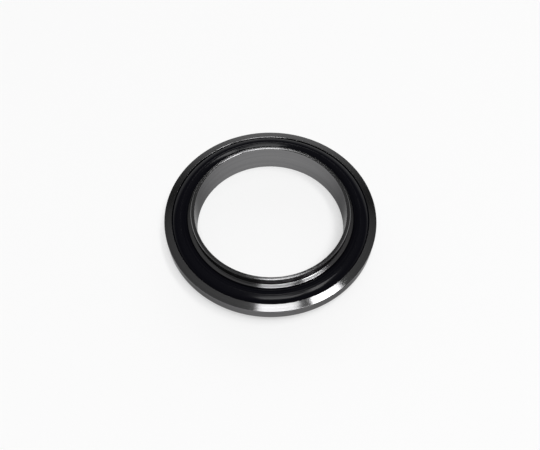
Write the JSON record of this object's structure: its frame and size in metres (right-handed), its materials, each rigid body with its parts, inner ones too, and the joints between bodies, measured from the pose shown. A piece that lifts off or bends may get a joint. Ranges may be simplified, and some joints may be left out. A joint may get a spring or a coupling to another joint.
{
  "type": "kf centering ring",
  "caption": "Vacuum flange centering ring: a thin steel collar ring carries a round-section rubber seal, held in from outside by a bevelled steel ring.",
  "frame": {"origin": "centre of the ring, on its axis and halfway up its height", "axes": "+Z along the ring's axis, towards the upper flange; X and Y are interchangeable"},
  "size_m": [0.055, 0.055, 0.008],
  "materials": {
    "turned_steel": "fine turned, satin to bright",
    "seal_rubber": "smooth, slightly glossy"
  },
  "bodies": {
    "root": {"centering_ring": "turned_steel", "o_ring": "seal_rubber", "outer_ring": "turned_steel"}
  },
  "joints": []
}
